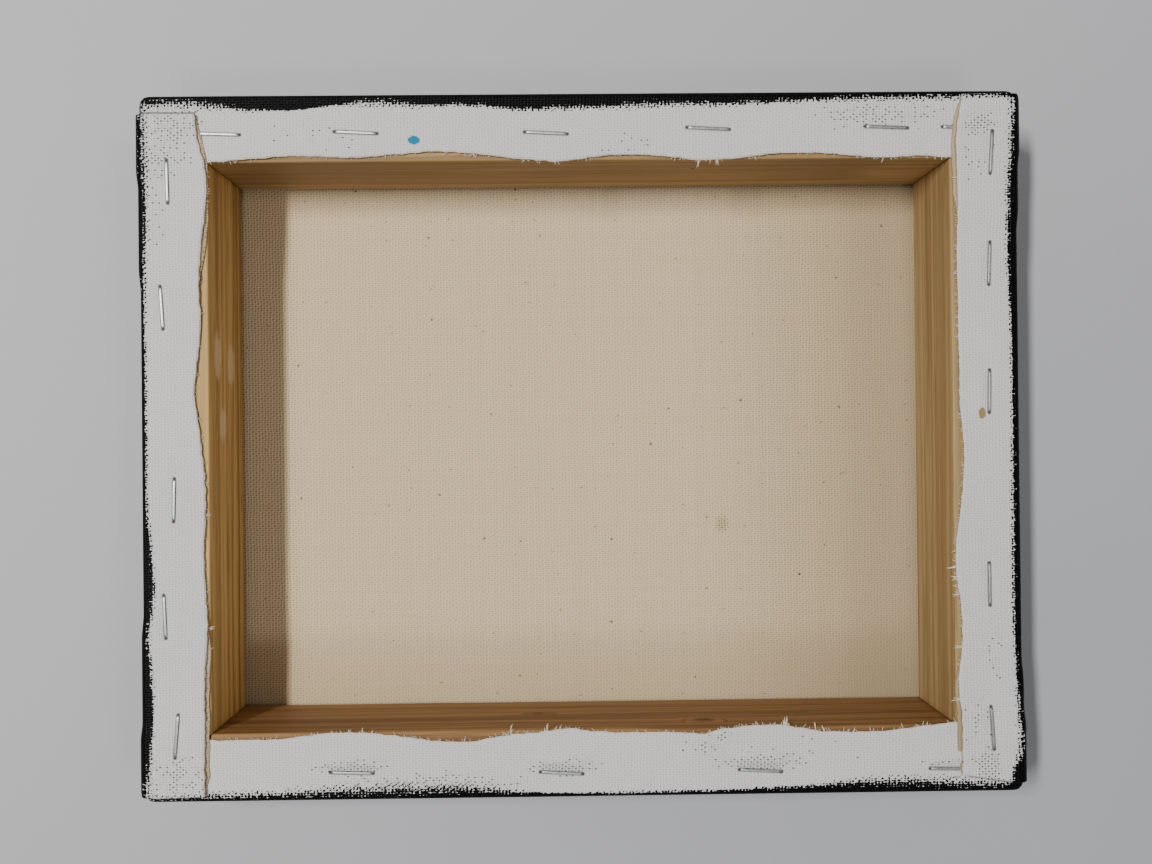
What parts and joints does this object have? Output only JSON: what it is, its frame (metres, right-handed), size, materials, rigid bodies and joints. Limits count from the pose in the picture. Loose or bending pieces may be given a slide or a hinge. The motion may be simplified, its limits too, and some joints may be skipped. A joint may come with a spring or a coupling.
{
  "type": "stretched canvas",
  "caption": "Rectangular artist's canvas: primed cotton stretched over a deep mitred wooden frame, stapled and folded over at the back.",
  "frame": {"origin": "middle of the painting face, which lies on Z = 0; the canvas lies face down", "axes": "+Z out of the back of the canvas, +X along the long side, +Y along the short side; top is +Y and right is +X seen from the back"},
  "size_m": [0.2572, 0.2044, 0.0406],
  "materials": {
    "pine": "planed, unvarnished softwood",
    "canvas": "cotton duck, raw inside, primed white outside, black acrylic on the face and edges",
    "staple_steel": "galvanised wire",
    "v_nail_steel": "pressed strip steel"
  },
  "bodies": {
    "root": {"bar_top": "pine", "bar_bottom": "pine", "bar_left": "pine", "bar_right": "pine", "canvas_sheet": "canvas", "staple_top_1": "staple_steel", "staple_top_2": "staple_steel", "staple_top_3": "staple_steel", "staple_top_4": "staple_steel", "staple_top_5": "staple_steel", "staple_top_6": "staple_steel", "staple_bottom_1": "staple_steel", "staple_bottom_2": "staple_steel", "staple_bottom_3": "staple_steel", "staple_bottom_4": "staple_steel", "staple_bottom_5": "staple_steel", "staple_left_1": "staple_steel", "staple_left_2": "staple_steel", "staple_left_3": "staple_steel", "staple_left_4": "staple_steel", "staple_left_5": "staple_steel", "staple_right_1": "staple_steel", "staple_right_2": "staple_steel", "staple_right_3": "staple_steel", "staple_right_4": "staple_steel", "staple_right_5": "staple_steel", "v_nail_top_left_outer": "v_nail_steel", "v_nail_top_left_inner": "v_nail_steel", "v_nail_top_right_outer": "v_nail_steel", "v_nail_top_right_inner": "v_nail_steel", "v_nail_bottom_left_outer": "v_nail_steel", "v_nail_bottom_left_inner": "v_nail_steel", "v_nail_bottom_right_outer": "v_nail_steel", "v_nail_bottom_right_inner": "v_nail_steel"}
  },
  "joints": []
}
